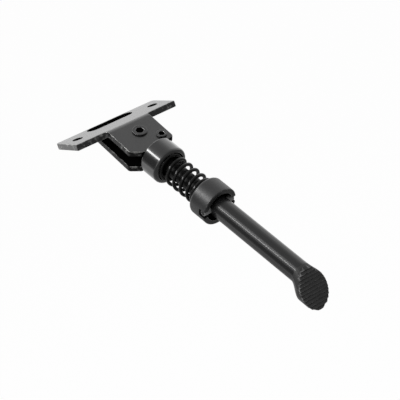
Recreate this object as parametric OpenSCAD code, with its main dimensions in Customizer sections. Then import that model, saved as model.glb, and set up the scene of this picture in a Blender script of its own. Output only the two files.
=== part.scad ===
// Side stand for a kick scooter: a folded steel bracket, a spring-loaded
// sliding collar and a forged leg with a serrated foot.
// The mounting face lies in z = 0 and faces +z. The origin is midway between
// its two screw holes, +x runs along the plate, and the leg hangs below.

/* [Mounting plate] */
// Length of the mounting plate
plate_length = 90; // [76:1:110]
// Width of the mounting plate, from the fold to the far edge
plate_width = 33; // [30:0.5:40]
// Thickness of the steel sheet
sheet = 4.8; // [3.5:0.1:5.5]
// Corner radius of the plate
plate_corner = 2.5; // [0.5:0.1:5]
// Distance between the two screw holes
hole_spacing = 69; // [60:0.5:80]
// Diameter of the screw holes
hole_d = 8; // [5:0.1:9]
// Length of the slot that takes the back cheek
slot_length = 40; // [34:0.5:44]
// Width of that slot
slot_width = 12; // [9:0.5:14]
// Distance from the slot to the plate's far edge
slot_rim = 1.6; // [1:0.1:4]
// How far the back cheek's tab stays below the plate's face
tab_recess = 2.2; // [1:0.1:3]
// How far the weld round that tab stays below the plate's face
weld_recess = 2.8; // [2.4:0.1:4]
// Angle by which the front cheek is folded out of the plate's plane
fold_angle = 34; // [25:1:42]
// Outside radius of the fold
fold_radius = 8.8; // [6:0.1:12]

/* [Cheeks] */
// Width of the cheeks
cheek_width = 37.6; // [34:0.1:42]
// Outside width over both cheeks
bracket_width = 19.2; // [18:0.1:24]
// Distance from the fold's virtual corner down to the pivot
pivot_drop = 13; // [12:0.1:18]
// Sideways offset of the pivot from the middle of the plate
pivot_offset = 1.1; // [-3:0.1:3]
// Distance from the pivot to the cheeks' lower edges, along the leg
cam_height = 19.2; // [18:0.1:24]
// Width of the bevel at the cheeks' leading corner
bevel_width = 7.9; // [5:0.1:10]
// Height of that bevel
bevel_height = 5.4; // [3:0.1:8]
// Radius of the cheeks' other corner
cheek_corner = 2.5; // [1:0.1:4]
// Radii at the bevel's upper and lower end
bevel_rounds = [3, 2]; // [1:0.1:4]
// Radius between the cheeks' sides and the plate's wings
neck_fillet = 2.6; // [1:0.1:4]

/* [Pivot and stop] */
// Diameter of the pivot bolt
pivot_d = 8; // [6:0.1:9]
// Outside diameter of the pivot sleeve
sleeve_d = 11; // [10:0.1:12]
// Diameter of the pivot bolt's head
pivot_head_d = 11.4; // [10:0.1:14]
// Height of the pivot bolt's head
pivot_head_h = 1.3; // [1:0.1:4]
// Socket width across flats in the pivot bolt
pivot_socket = 5.8; // [4:0.1:6]
// Distance of the stop bolt from the pivot, along the plate
stop_x = 11.1; // [10.5:0.1:12]
// Distance of the stop bolt below the pivot
stop_z = 12; // [11.5:0.1:13]
// Diameter of the stop bolt
stop_d = 6; // [5:0.1:6.5]
// Diameter of the stop bolt's head
stop_head_d = 8.2; // [7:0.1:9.5]
// Height of the stop bolt's head
stop_head_h = 1.4; // [1:0.1:3]
// Socket width across flats in the stop bolt
stop_socket = 4.3; // [3:0.1:5]
// Width across flats of the pivot nut
pivot_nut_af = 13; // [12:0.5:14]
// Height of the pivot nut
pivot_nut_h = 4.5; // [3:0.1:6]
// Width across flats of the stop nut
stop_nut_af = 10; // [9:0.5:10.5]
// Height of the stop nut
stop_nut_h = 3.6; // [2.5:0.1:5]
// Thickness of the washers
washer_t = 1.2; // [0.8:0.1:1.6]
// Depth of the sockets in the bolts
socket_depth = 3; // [2:0.1:4]
// How far the bolts stand out of their nuts
bolt_tip = 1.2; // [0.5:0.1:3]

/* [Leg] */
// Lean of the leg, forward of square to the plate
leg_lean = 3.1; // [2:0.1:4]
// Diameter of the rod
rod_d = 16.2; // [15:0.1:18]
// Diameter of the spindle that the collars sit on
spindle_d = 12.6; // [11:0.1:13]
// Outside diameter of the leg's eye
eye_d = 20; // [19:0.1:21]
// Distance from the pivot to the middle of the sole, along the leg
leg_length = 186.3; // [160:0.1:220]
// Length of the flattened neck below the pivot
blade_length = 16.4; // [15.8:0.1:17]
// Distance from the pivot to the end of the two flats on the neck
flats_end = 26; // [25.5:0.1:28]
// Width of the foot
foot_width = 23.7; // [20:0.1:26]
// Depth of the foot, square to the leg
foot_depth = 25.5; // [22:0.1:28]
// Shift of the foot towards its toe, from the rod's axis
foot_shift = 6.9; // [4:0.1:8]
// Sideways shift of the foot from the rod's axis
foot_side = 1.5; // [0:0.1:2]
// Distance from the middle of the sole up to where the foot starts to swell
flare_height = 15.6; // [12:0.1:22]
// Length of rod over which the foot swells
flare_length = 10.9; // [8:0.1:14]
// Number of ridges across the sole
ridges = 12; // [6:1:14]
// Depth of the ridges
ridge_depth = 1.2; // [0.6:0.1:1.8]

/* [Collars and spring] */
// Outside diameter of the sliding collar
slider_d = 30; // [28:0.1:32]
// Length of the sliding collar
slider_length = 16.9; // [15:0.1:20]
// Radius at the sliding collar's bearing edge
slider_top_round = 1.3; // [0.6:0.1:2]
// Radius at the sliding collar's mouth
slider_mouth_round = 2.6; // [1:0.1:3]
// Depth of the spring pocket in the sliding collar
pocket_depth = 4.4; // [3:0.1:8]
// Diameter of the spring pocket
pocket_d = 23.8; // [23.2:0.1:24.4]
// Outside diameter of the spring seat
seat_d = 30.4; // [28:0.1:32]
// Length of the spring seat
seat_length = 17.3; // [15:0.1:20]
// Distance from the pivot to the spring seat
seat_start = 73; // [70:0.5:80]
// Radius at the spring seat's upper edge
seat_top_round = 2.8; // [1:0.1:3]
// Radius at the spring seat's lower edge
seat_low_round = 1; // [0.4:0.1:1.5]
// Depth of the recess under the spring seat
recess_depth = 11; // [9:0.1:12]
// Diameter of that recess
recess_d = 23; // [20:0.1:24]
// Width of the two notches for the cross pin
notch_width = 5.6; // [5.4:0.1:7]
// Depth of those notches
notch_depth = 5.4; // [5:0.1:7]
// Diameter of the cross pin
cross_pin_d = 5; // [4:0.1:5.2]
// Length of the cross pin
cross_pin_length = 28; // [26:0.5:29]
// Wire diameter of the spring
wire_d = 2.7; // [2.2:0.1:3]
// Outside diameter of the spring
spring_d = 22.6; // [22:0.1:23]
// Number of open turns in the spring
open_turns = 4.55; // [4:0.05:6]
// Place of the wire's upper end, as an angle round the leg
wire_start = 210; // [0:10:350]

/* [Clearances] */
// Gap between the sliding collar and the cheeks at rest
cam_gap = 0.3; // [0.2:0.05:0.6]
// Radial clearance of the turning and sliding fits
fit = 0.07; // [0.03:0.01:0.1]
// Gap on each side of the eye between the cheeks
eye_gap = 0.3; // [0.2:0.05:0.6]
// Gap between the leg's neck and the stop bolt
stop_gap = 0.1; // [0.05:0.01:0.3]
// Gap between the spring's ends and their seats
spring_gap = 0.05; // [0.02:0.01:0.2]
// Gap between the cross pin and the ends of its notches
pin_gap = 0.1; // [0.05:0.01:0.2]
// Gap between the spring seat and the shoulder on the rod
shoulder_gap = 0.6; // [0.3:0.1:1]

/* [Hidden] */
$fn = 64;
far = 200;

// Derived places in the bracket
fold_tangent = fold_radius * tan(fold_angle / 2);
near_edge = -plate_width / 2;
corner_y = near_edge - fold_tangent;
far_edge = plate_width / 2;
slot_y = far_edge - slot_rim - slot_width / 2;
cheek_left = -cheek_width / 2 - pivot_offset;
cheek_right = cheek_width / 2 - pivot_offset;
cheek_gap = bracket_width - 2 * sheet;
mid_y = bracket_width / 2;

// Derived places along the leg, as distances from the pivot
slider_start = cam_height + cam_gap;
slider_end = slider_start + slider_length;
pocket_floor = slider_end - pocket_depth;
seat_end = seat_start + seat_length;
recess_floor = seat_end - recess_depth;
pin_place = seat_end - notch_depth + cross_pin_d / 2 + pin_gap;
shoulder = recess_floor + shoulder_gap;
flare_start = leg_length - flare_height;
sole_length = foot_depth / cos(fold_angle);
stop_side = stop_x * cos(leg_lean) - stop_z * sin(leg_lean);
blade_half = stop_side - stop_d / 2 - stop_gap;
blade_t = cheek_gap - 2 * eye_gap;
ridge_pitch = sole_length / ridges;
ridge_lean = 0.72;
foot_inset = 0.03;
foot_steps = 14;
foot_waste = 24;
neck_taper = 2.2;
shoulder_taper = 1.6;

// Points of an arc round c from angle a0 to a1
function arc(c, r, a0, a1, n = 8) =
    [for (i = [0:n]) let (a = a0 + (a1 - a0) * i / n) c + r * [cos(a), sin(a)]];

// One corner of an outline, rounded with radius r
function rounded(p, q, s, r, n = 8) =
    let (u = (p - q) / norm(p - q), v = (s - q) / norm(s - q),
         half = acos(u * v) / 2, m = (u + v) / norm(u + v),
         c = q + m * r / sin(half), a = q + u * r / tan(half) - c,
         b = q + v * r / tan(half) - c,
         a0 = atan2(a[1], a[0]), turn = atan2(a[0] * b[1] - a[1] * b[0], a * b))
    arc(c, r, a0, a0 + turn, n);

// The frame of the cheeks: x along the plate, y through both cheeks, z up
// towards the plate, with its origin on the pivot at the outer front face
module at_pivot()
    translate([0, corner_y, 0]) rotate([fold_angle - 90, 0, 0])
        translate([pivot_offset, 0, -pivot_drop]) children();

// The frame of the leg: z points from the foot to the pivot
module on_leg()
    at_pivot() translate([0, mid_y, 0]) rotate([0, -leg_lean, 0]) children();

// A cylinder through the cheeks, from y0 to y1
module across(d, y0, y1, x = 0, z = 0)
    translate([x, y0, z]) rotate([-90, 0, 0]) cylinder(d = d, h = y1 - y0);

// Outline of the plate and of the strip that folds down into the cheek
module t_outline() {
    c = cheek_width / 2;
    f = neck_fillet;
    end = plate_length / 2;
    polygon(concat(
        rounded([-end, near_edge], [-end, far_edge], [end, far_edge], plate_corner),
        rounded([-end, far_edge], [end, far_edge], [end, near_edge], plate_corner),
        [[end, near_edge]],
        arc([c + f, near_edge - f], f, 90, 180),
        [[c, -far], [-c, -far]],
        arc([-c - f, near_edge - f], f, 0, 90),
        [[-end, near_edge]]));
}

// Lower edge of a cheek in the frame of the cheeks, from its left side round
// the bevel to its right side
function lower_edge() =
    let (low = function (x) -cam_height / cos(leg_lean) + x * tan(leg_lean),
         bevel_x = cheek_left + bevel_width,
         bevel_top = [cheek_left, low(bevel_x) + bevel_height],
         bevel_low = [bevel_x, low(bevel_x)],
         right_low = [cheek_right, low(cheek_right)])
    concat(rounded([cheek_left, far], bevel_top, bevel_low, bevel_rounds[0]),
           rounded(bevel_top, bevel_low, right_low, bevel_rounds[1]),
           rounded(bevel_low, right_low, [cheek_right, far], cheek_corner));

// Folded sheet seen from its end, in the plane across the plate
module fold_profile() {
    centre = [near_edge, -fold_radius];
    inner = fold_radius - sheet;
    down = [-cos(fold_angle), -sin(fold_angle)];
    out = [-sin(fold_angle), cos(fold_angle)];
    reach = pivot_drop + cam_height;
    outer_end = centre + fold_radius * out + reach * down;
    polygon(concat(
        [[far_edge, 0]],
        arc(centre, fold_radius, 90, 90 + fold_angle, 12),
        [outer_end, outer_end - sheet * out],
        arc(centre, inner, 90 + fold_angle, 90, 12),
        [[far_edge, -sheet]]));
}

// Mounting plate and front cheek, cut and folded from one sheet
module folded_sheet() {
    edge = lower_edge();
    first = edge[0];
    last = edge[len(edge) - 1];
    difference() {
        intersection() {
            rotate([90, 0, 90]) translate([0, 0, -plate_length / 2 - 1])
                linear_extrude(plate_length + 2) fold_profile();
            translate([0, 0, -far]) linear_extrude(2 * far) t_outline();
        }
        at_pivot() translate([0, sheet + 1, 0]) rotate([90, 0, 0]) linear_extrude(sheet + 2)
            polygon(concat(edge, [[cheek_right + 5, last[1]], [cheek_right + 5, -far],
                [cheek_left - 5, -far], [cheek_left - 5, first[1]]]));
    }
}

// The slot, a straight opening with round ends
module plate_slot() {
    run = (slot_length - slot_width) / 2;
    for (side = [-1, 1])
        translate([side * run, slot_y, -sheet - 1]) cylinder(d = slot_width, h = sheet + 2);
    translate([-run, slot_y - slot_width / 2, -sheet - 1]) cube([2 * run, slot_width, sheet + 2]);
}

module mounting_bracket() color([0.07, 0.07, 0.075]) {
    difference() {
        folded_sheet();
        plate_slot();
        for (side = [-1, 1])
            translate([side * hole_spacing / 2, 0, -sheet - 1]) cylinder(d = hole_d, h = sheet + 2);
        at_pivot() {
            across(pivot_d + 2 * fit, -1, sheet + 1);
            across(stop_d + 2 * fit, -1, sheet + 1, stop_x, -stop_z);
        }
    }
}

// Flat cheek whose mitred top enters the slot and is welded there
module back_cheek() color([0.07, 0.07, 0.075]) {
    difference() {
        at_pivot() translate([0, bracket_width, 0]) rotate([90, 0, 0]) linear_extrude(sheet)
            polygon(concat([[cheek_right, far], [cheek_left, far]], lower_edge()));
        difference() {
            translate([-far, near_edge, -sheet]) cube([2 * far, far, far]);
            intersection() {
                plate_slot();
                translate([-far, -far, -far]) cube([2 * far, 2 * far, far - tab_recess]);
            }
        }
        at_pivot() {
            across(pivot_d + 2 * fit, 0, far);
            across(stop_d + 2 * fit, 0, far, stop_x, -stop_z);
        }
    }
}

// Weld that fills the slot round the back cheek's tab
module weld_bead() color([0.05, 0.05, 0.055]) {
    difference() {
        intersection() {
            plate_slot();
            translate([-far, -far, -sheet]) cube([2 * far, 2 * far, sheet - weld_recess]);
        }
        back_cheek();
    }
}

// Low round head with a hexagon socket, and a shank through both cheeks
module socket_bolt(d, head_d, head_h, socket, tip) {
    edge = head_h * 0.4;
    difference() {
        union() {
            rotate([90, 0, 0]) rotate_extrude()
                polygon(concat([[0, 0]], [[head_d / 2, 0]],
                    arc([head_d / 2 - edge, head_h - edge], edge, 0, 90, 5), [[0, head_h]]));
            across(d, -0.01, tip);
        }
        rotate([90, 0, 0]) translate([0, 0, head_h - socket_depth])
            cylinder(d = socket / cos(30), h = socket_depth + 1, $fn = 6);
    }
}

module hex_nut(af, h, bore) {
    intersection() {
        rotate([-90, 0, 0]) difference() {
            cylinder(d = af / cos(30), h = h, $fn = 6);
            translate([0, 0, -1]) cylinder(d = bore, h = h + 2);
        }
        rotate([-90, 0, 0]) cylinder(d1 = af * 1.3, d2 = af * 1.02, h = h);
    }
}

module washer(d, bore, t)
    rotate([-90, 0, 0]) difference() {
        cylinder(d = d, h = t);
        translate([0, 0, -1]) cylinder(d = bore, h = t + 2);
    }

module pivot_bolt() color([0.06, 0.06, 0.065])
    at_pivot() socket_bolt(pivot_d, pivot_head_d, pivot_head_h, pivot_socket,
        bracket_width + washer_t + pivot_nut_h + bolt_tip);

module pivot_sleeve() color([0.55, 0.55, 0.55])
    at_pivot() difference() {
        across(sleeve_d, sheet, sheet + cheek_gap);
        across(pivot_d + 2 * fit, 0, bracket_width);
    }

module pivot_washer() color([0.08, 0.08, 0.085])
    at_pivot() translate([0, bracket_width, 0]) washer(pivot_d * 2, pivot_d + 2 * fit, washer_t);

module pivot_nut() color([0.08, 0.08, 0.085])
    at_pivot() translate([0, bracket_width + washer_t, 0])
        hex_nut(pivot_nut_af, pivot_nut_h, pivot_d + 2 * fit);

module stop_bolt() color([0.06, 0.06, 0.065])
    at_pivot() translate([stop_x, 0, -stop_z])
        socket_bolt(stop_d, stop_head_d, stop_head_h, stop_socket,
            bracket_width + washer_t + stop_nut_h + bolt_tip);

module stop_washer() color([0.08, 0.08, 0.085])
    at_pivot() translate([stop_x, bracket_width, -stop_z])
        washer(stop_d * 1.8, stop_d + 2 * fit, washer_t);

module stop_nut() color([0.08, 0.08, 0.085])
    at_pivot() translate([stop_x, bracket_width + washer_t, -stop_z])
        hex_nut(stop_nut_af, stop_nut_h, stop_d + 2 * fit);

// Section of the foot with n points at a depth z: the round rod for a swelling
// of 0 and the foot's full oval for 1
function swell(t) = pow(t * t * (3 - 2 * t), 1.28);
function foot_ring(swelling, z, n = 48) =
    let (r = rod_d / 2 - foot_inset,
         a = r + (foot_width / 2 - r) * swelling, b = r + (foot_depth / 2 - r) * swelling)
    [for (i = [0:n - 1]) let (w = 360 * i / n)
        [foot_side * swelling + a * cos(w), foot_shift * swelling + b * sin(w), -z]];

// Closed solid through a stack of rings
module skin(rings) {
    n = len(rings[0]);
    m = len(rings);
    points = [for (r = rings) each r];
    sides = [for (k = [0:m - 2], i = [0:n - 1]) let (j = (i + 1) % n)
        each [[k * n + i, k * n + j, (k + 1) * n + i], [k * n + j, (k + 1) * n + j, (k + 1) * n + i]]];
    caps = [[for (i = [n - 1:-1:0]) i], [for (i = [0:n - 1]) (m - 1) * n + i]];
    polyhedron(points = points, faces = concat(sides, caps));
}

// What is milled away under the foot, a row of grooves across it
module sole_grooves() {
    low = -sole_length / 2 - ridge_pitch;
    rotate([90, 0, 90]) translate([0, 0, -foot_width]) linear_extrude(2 * foot_width)
        polygon(concat(
            [[-low, -foot_waste], [low, -foot_waste]],
            [for (k = [0:ridges + 1]) let (y = low + k * ridge_pitch)
                each [[y, ridge_depth], [y + ridge_pitch * ridge_lean, 0]]],
            [[-low, ridge_depth]]));
}

// Eye, flattened neck, spindle, rod and foot, forged as one piece
module leg() color([0.06, 0.06, 0.065]) on_leg() {
    difference() {
        union() {
            across(eye_d, -blade_t / 2, blade_t / 2);
            translate([-blade_half, -blade_t / 2, -blade_length])
                cube([2 * blade_half, blade_t, blade_length]);
            translate([0, 0, -blade_length - neck_taper]) intersection() {
                cylinder(d1 = spindle_d, d2 = 2.4 * blade_half, h = neck_taper);
                translate([-blade_half, -blade_t / 2, 0]) cube([2 * blade_half, blade_t, neck_taper]);
            }
            difference() {
                rotate_extrude() polygon([[0, -blade_length - 1], [spindle_d / 2, -blade_length - 1],
                    [spindle_d / 2, -shoulder], [rod_d / 2, -shoulder - shoulder_taper],
                    [rod_d / 2, -flare_start], [0, -flare_start]]);
                for (side = [0, 1]) mirror([0, side, 0])
                    translate([-far, blade_t / 2, -flats_end]) cube([2 * far, far, far]);
            }
            skin(concat([foot_ring(0, flare_start - 1)],
                [for (k = [0:foot_steps])
                    foot_ring(swell(k / foot_steps), flare_start + flare_length * k / foot_steps)],
                [foot_ring(1, leg_length + foot_depth / 2 * tan(fold_angle) + 1)]));
        }
        translate([foot_side, foot_shift, -leg_length]) rotate([0, leg_lean, 0])
            rotate([-fold_angle, 0, 0]) sole_grooves();
        across(sleeve_d + 2 * fit, -far, far);
        translate([-far, 0, -pin_place]) rotate([0, 90, 0]) cylinder(d = cross_pin_d, h = 2 * far);
    }
}

// Collar that slides on the spindle and bears on the cheeks
module sliding_collar() color([0.08, 0.08, 0.085]) on_leg() {
    r = slider_d / 2;
    bore = spindle_d / 2 + fit;
    rotate_extrude($fn = 96) polygon(concat(
        [[bore, -slider_start]],
        arc([r - slider_top_round, -slider_start - slider_top_round], slider_top_round, 90, 0, 5),
        arc([r - slider_mouth_round, -slider_end + slider_mouth_round], slider_mouth_round, 0, -80, 7),
        [[pocket_d / 2, -slider_end], [pocket_d / 2, -pocket_floor], [bore, -pocket_floor]]));
}

// Height of the spring's wire after a share t of its turns, both ends closed
spring_low = seat_start - wire_d / 2 - spring_gap;
spring_high = pocket_floor + wire_d / 2 + spring_gap;
turns = open_turns + 2;
function climb(u) = let (rise = (spring_low - spring_high - 2 * wire_d) / open_turns)
    u < 1 ? wire_d * u : u > turns - 1 ? spring_low - spring_high - wire_d * (turns - u)
          : wire_d + rise * (u - 1);

module spring() color([0.1, 0.1, 0.105]) on_leg() {
    steps = 22;
    r = (spring_d - wire_d) / 2;
    skin([for (k = [0:steps * turns])
        let (u = k / steps, a = wire_start - 360 * u, z = -spring_high - climb(u))
        [for (i = [0:9]) let (w = 36 * i, q = r + wire_d / 2 * cos(w))
            [q * cos(a), q * sin(a), z + wire_d / 2 * sin(w)]]]);
}

// Fixed collar that the spring stands on, notched to sit on the cross pin
module spring_seat() color([0.12, 0.12, 0.125]) on_leg() {
    r = seat_d / 2;
    bore = spindle_d / 2 + fit;
    difference() {
        rotate_extrude($fn = 96) polygon(concat(
            [[bore, -seat_start]],
            arc([r - seat_top_round, -seat_start - seat_top_round], seat_top_round, 90, 0, 7),
            arc([r - seat_low_round, -seat_end + seat_low_round], seat_low_round, 0, -90, 4),
            [[recess_d / 2, -seat_end], [recess_d / 2, -recess_floor], [bore, -recess_floor]]));
        translate([-far, -notch_width / 2, -seat_end - 1])
            cube([2 * far, notch_width, notch_depth + 1]);
    }
}

module cross_pin() color([0.6, 0.6, 0.6]) on_leg()
    translate([-cross_pin_length / 2, 0, -pin_place]) rotate([0, 90, 0])
        cylinder(d = cross_pin_d, h = cross_pin_length);

mounting_bracket();
back_cheek();
weld_bead();
pivot_bolt();
pivot_sleeve();
pivot_washer();
pivot_nut();
stop_bolt();
stop_washer();
stop_nut();
leg();
sliding_collar();
spring();
spring_seat();
cross_pin();
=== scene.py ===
import math
import bmesh
import bpy
from mathutils import Matrix, Vector


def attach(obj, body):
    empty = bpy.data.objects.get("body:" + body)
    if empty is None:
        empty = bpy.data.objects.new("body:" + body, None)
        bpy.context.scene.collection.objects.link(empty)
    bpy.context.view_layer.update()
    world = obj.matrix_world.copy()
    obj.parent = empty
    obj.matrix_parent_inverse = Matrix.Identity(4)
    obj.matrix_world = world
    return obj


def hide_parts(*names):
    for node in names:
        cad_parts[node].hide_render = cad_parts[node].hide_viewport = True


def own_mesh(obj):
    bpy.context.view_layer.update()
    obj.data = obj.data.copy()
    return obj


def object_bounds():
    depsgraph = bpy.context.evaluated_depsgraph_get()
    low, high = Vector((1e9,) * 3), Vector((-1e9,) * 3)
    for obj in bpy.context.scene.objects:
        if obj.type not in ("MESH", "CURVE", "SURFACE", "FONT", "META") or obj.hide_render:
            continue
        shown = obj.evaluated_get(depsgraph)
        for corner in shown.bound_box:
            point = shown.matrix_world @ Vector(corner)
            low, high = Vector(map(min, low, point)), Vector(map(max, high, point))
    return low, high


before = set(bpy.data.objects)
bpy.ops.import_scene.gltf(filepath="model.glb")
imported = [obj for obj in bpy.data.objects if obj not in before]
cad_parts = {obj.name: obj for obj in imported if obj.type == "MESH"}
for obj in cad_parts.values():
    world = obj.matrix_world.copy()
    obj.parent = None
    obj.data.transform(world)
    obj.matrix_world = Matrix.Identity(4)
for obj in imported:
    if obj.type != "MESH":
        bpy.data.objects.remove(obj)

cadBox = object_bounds()
print("frame loaded")

# sizes that more than one piece uses, in millimetres
bracket = {
    "plateLength": 90, "plateWidth": 33, "sheet": 4.8, "plateCorner": 2.5,
    "holeSpacing": 69, "holeRadius": 4, "slotLength": 40, "slotWidth": 12, "slotRim": 1.6, "tabRecess": 2.2,
    "foldAngle": 34, "foldRadius": 8.8, "foldSteps": 12, "neckFillet": 2.6,
    "cheekWidth": 37.6, "outerWidth": 19.2, "pivotDrop": 13, "pivotOffset": 1.1,
    "camHeight": 19.2, "bevelWidth": 7.9, "bevelHeight": 5.4, "bevelRounds": (3, 2), "cheekCorner": 2.5,
    "legLean": 3.1, "stopPlace": (11.1, -12), "pivotHole": 4.07, "stopHole": 3.07,
    "edgeRound": 0.55, "edgeSteps": 4, "holeRound": 0.3, "endCorner": 0.8,
    "backHeight": 50,  # the back cheek's blank, before the plate's slot trims it to a tab
    "tabCutter": (-60, -40, 60, 60), "cutterRound": 0.02,
    # a face's tilt in z tells its inner faces, its cut sides and the sides of holes within the plate's rims, which
    # get painted shade
    "innerTilt": 0.5, "sideTilt": 0.6, "holeTilt": 0.7, "rimNear": 2, "rimFar": 1, "sidesBelow": 4,
}
# a corner is worn from this many degrees on, and fully after the span; cutSide is the wear of cut sides
edgeMarks = {"from": 9, "span": 14, "cutSide": 0.83}
nearEdge = -bracket["plateWidth"] / 2
farEdge = bracket["plateWidth"] / 2
foldTurn = math.radians(bracket["foldAngle"])
foldTangent = bracket["foldRadius"] * math.tan(foldTurn / 2)
legTurn = math.radians(bracket["legLean"])
cheekLeft = -bracket["cheekWidth"] / 2 - bracket["pivotOffset"]
cheekRight = bracket["cheekWidth"] / 2 - bracket["pivotOffset"]

# plateFrame is the row's own frame. cheekFrame has x along the plate, y through both
# cheeks and z up to the plate, from the pivot's outer end. In legFrame z runs from foot to pivot.
plateFrame = Matrix.Scale(0.001, 4)
cheekFrame = (plateFrame @ Matrix.Translation((0, nearEdge - foldTangent, 0))
              @ Matrix.Rotation(foldTurn - math.pi / 2, 4, "X")
              @ Matrix.Translation((bracket["pivotOffset"], 0, -bracket["pivotDrop"])))
legFrame = (cheekFrame @ Matrix.Translation((0, bracket["outerWidth"] / 2, 0))
            @ Matrix.Rotation(-legTurn, 4, "Y"))


def roundLoop(corners, steps=6):  # corners are (x, y, radius)
    points = []
    for i, (x, y, r) in enumerate(corners):
        here = Vector((x, y))
        if r <= 0:
            points.append(here)
            continue
        u = (Vector(corners[i - 1][:2]) - here).normalized()
        v = (Vector(corners[(i + 1) % len(corners)][:2]) - here).normalized()
        half = u.angle(v) / 2
        centre = here + (u + v).normalized() * (r / math.sin(half))
        a = here + u * (r / math.tan(half)) - centre
        b = here + v * (r / math.tan(half)) - centre
        turn = math.atan2(a.x * b.y - a.y * b.x, a.dot(b))
        start = math.atan2(a.y, a.x)
        points += [centre + Vector((math.cos(w), math.sin(w))) * r
                   for w in (start + turn * k / steps for k in range(steps + 1))]
    return points


def circleLoop(x, y, r, steps=64):
    return [Vector((x + r * math.cos(w), y + r * math.sin(w)))
            for w in (2 * math.pi * k / steps for k in range(steps))]


def loopArea(loop):
    return sum(p.x * q.y - q.x * p.y for p, q in zip(loop, loop[1:] + loop[:1])) / 2


def insetLoop(loop, distance):  # towards the left of the walk, which is into the sheet
    out = []
    for i, p in enumerate(loop):
        a = (p - loop[i - 1]).normalized()
        b = (loop[(i + 1) % len(loop)] - p).normalized()
        m = Vector((-a.y, a.x)) + Vector((-b.y, b.x))
        out.append(p + m * (distance * 2 / max(m.length_squared, 0.5)))  # 0.5 holds back sharp corners
    return out


def fillFlat(bm, edges):  # fills loops of edges with flat faces, which are of kind 1
    kind = bm.faces.layers.int["kind"]
    for made in bmesh.ops.triangle_fill(bm, edges=edges, use_beauty=True)["geom"]:
        if isinstance(made, bmesh.types.BMFace):
            made[kind] = 1


def sheetMesh(outline, holes, thickness, edgeRound, steps=3, holeRound=None):
    bm = bmesh.new()  # a flat sheet with rounded edges, its top at z = 0
    kind = bm.faces.layers.int.new("kind")  # 1 on flat faces, 2 on cut sides
    rim = edgeRound if holeRound is None else holeRound
    loops = [(outline if loopArea(outline) > 0 else outline[::-1], edgeRound)]
    loops += [(h if loopArea(h) < 0 else h[::-1], rim) for h in holes]
    caps = ([], [])
    for loop, e in loops:
        levels = [(e * (1 - math.cos(w)), -e * (1 - math.sin(w)))
                  for w in (math.pi / 2 * k / steps for k in range(steps, -1, -1))]
        levels += [(inset, -thickness - z) for inset, z in reversed(levels)]
        rings = [[bm.verts.new((p.x, p.y, z)) for p in insetLoop(loop, inset)] for inset, z in levels]
        for row, (upper, lower) in enumerate(zip(rings, rings[1:])):
            for k in range(len(loop)):
                n = (k + 1) % len(loop)
                bm.faces.new((upper[n], upper[k], lower[k], lower[n]))[kind] = 2 if row == steps else 0
        for cap, ring in ((caps[0], rings[0]), (caps[1], rings[-1])):
            cap += [bm.edges.get((ring[k - 1], ring[k])) for k in range(len(ring))]
    for cap in caps:
        fillFlat(bm, cap)
    bmesh.ops.recalc_face_normals(bm, faces=bm.faces)
    return bm


def standUp(bm, y):  # stands a flat sheet upright along x, with its top at y
    bm.transform(Matrix(((1, 0, 0, 0), (0, 0, 1, y), (0, 1, 0, 0), (0, 0, 0, 1))))
    bmesh.ops.reverse_faces(bm, faces=bm.faces)


def turnMesh(profile, steps=128):  # profile is a closed loop of (radius, z), turned about z
    bm = bmesh.new()
    rings = []
    for r, z in profile:
        if r < 1e-6:
            rings.append([bm.verts.new((0, 0, z))] * steps)
        else:
            rings.append([bm.verts.new((r * math.cos(w), r * math.sin(w), z))
                          for w in (2 * math.pi * k / steps for k in range(steps))])
    joinRings(bm, rings, closed=True)
    return bm


def joinRings(bm, rings, closed=False):
    pairs = list(zip(rings, rings[1:])) + ([(rings[-1], rings[0])] if closed else [])
    for a, b in pairs:
        count = len(a)
        for k in range(count):
            n = (k + 1) % count
            corners = []
            for v in (a[k], a[n], b[n], b[k]):
                if v not in corners:
                    corners.append(v)
            if len(corners) > 2:
                bm.faces.new(corners)
    bmesh.ops.recalc_face_normals(bm, faces=bm.faces)


def shapeMesh(rings):  # stack of rings of points, closed at both ends
    bm = bmesh.new()
    made = [[bm.verts.new(p) for p in ring] for ring in rings]
    joinRings(bm, made)
    bm.faces.new(made[0])
    bm.faces.new(made[-1][::-1])
    bmesh.ops.recalc_face_normals(bm, faces=bm.faces)
    return bm


def markEdges(bm, edgeFrom):  # "edge" is 1 on rounded outer corners, where the coat is thin
    layer = bm.loops.layers.float.new("edge")
    kind = bm.faces.layers.int.get("kind")
    bm.normal_update()
    bm.verts.index_update()
    worn = []
    for v in bm.verts:
        sharpest = max((e.calc_face_angle_signed(0) for e in v.link_edges), default=0)
        worn.append(min(max((math.degrees(sharpest) - edgeFrom) / edgeMarks["span"], 0), 1))
    for face in bm.faces:
        level = face[kind] if kind else 0
        for loop in face.loops:
            loop[layer] = (worn[loop.vert.index], 0, edgeMarks["cutSide"])[level]


# a zone is a second finish, mostly painted shade, with a test of a face's centre and normal, made before the piece is
# placed
def piece(name, bm, place, body, material, stands=(), sharp=40, zones=(), edgeFrom=edgeMarks["from"]):
    markEdges(bm, edgeFrom)
    for face in bm.faces if zones else ():
        centre, normal = face.calc_center_median(), face.normal
        face.material_index = next((k + 1 for k, (_, test) in enumerate(zones) if test(centre, normal)), 0)
    mesh = bpy.data.meshes.new(name)
    bm.transform(place)
    bm.to_mesh(mesh)
    bm.free()
    mesh.shade_smooth()
    mesh.set_sharp_from_angle(angle=math.radians(sharp))
    obj = bpy.data.objects.new(name, mesh)
    bpy.context.scene.collection.objects.link(obj)
    for coat in [material] + [coat for coat, _ in zones]:
        mesh.materials.append(coat)
    flat = obj.modifiers.new("flatNormals", "WEIGHTED_NORMAL")
    flat.keep_sharp = True
    flat.weight = 90  # large faces lead
    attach(obj, body)
    if stands:
        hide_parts(*stands)
    return obj


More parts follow.
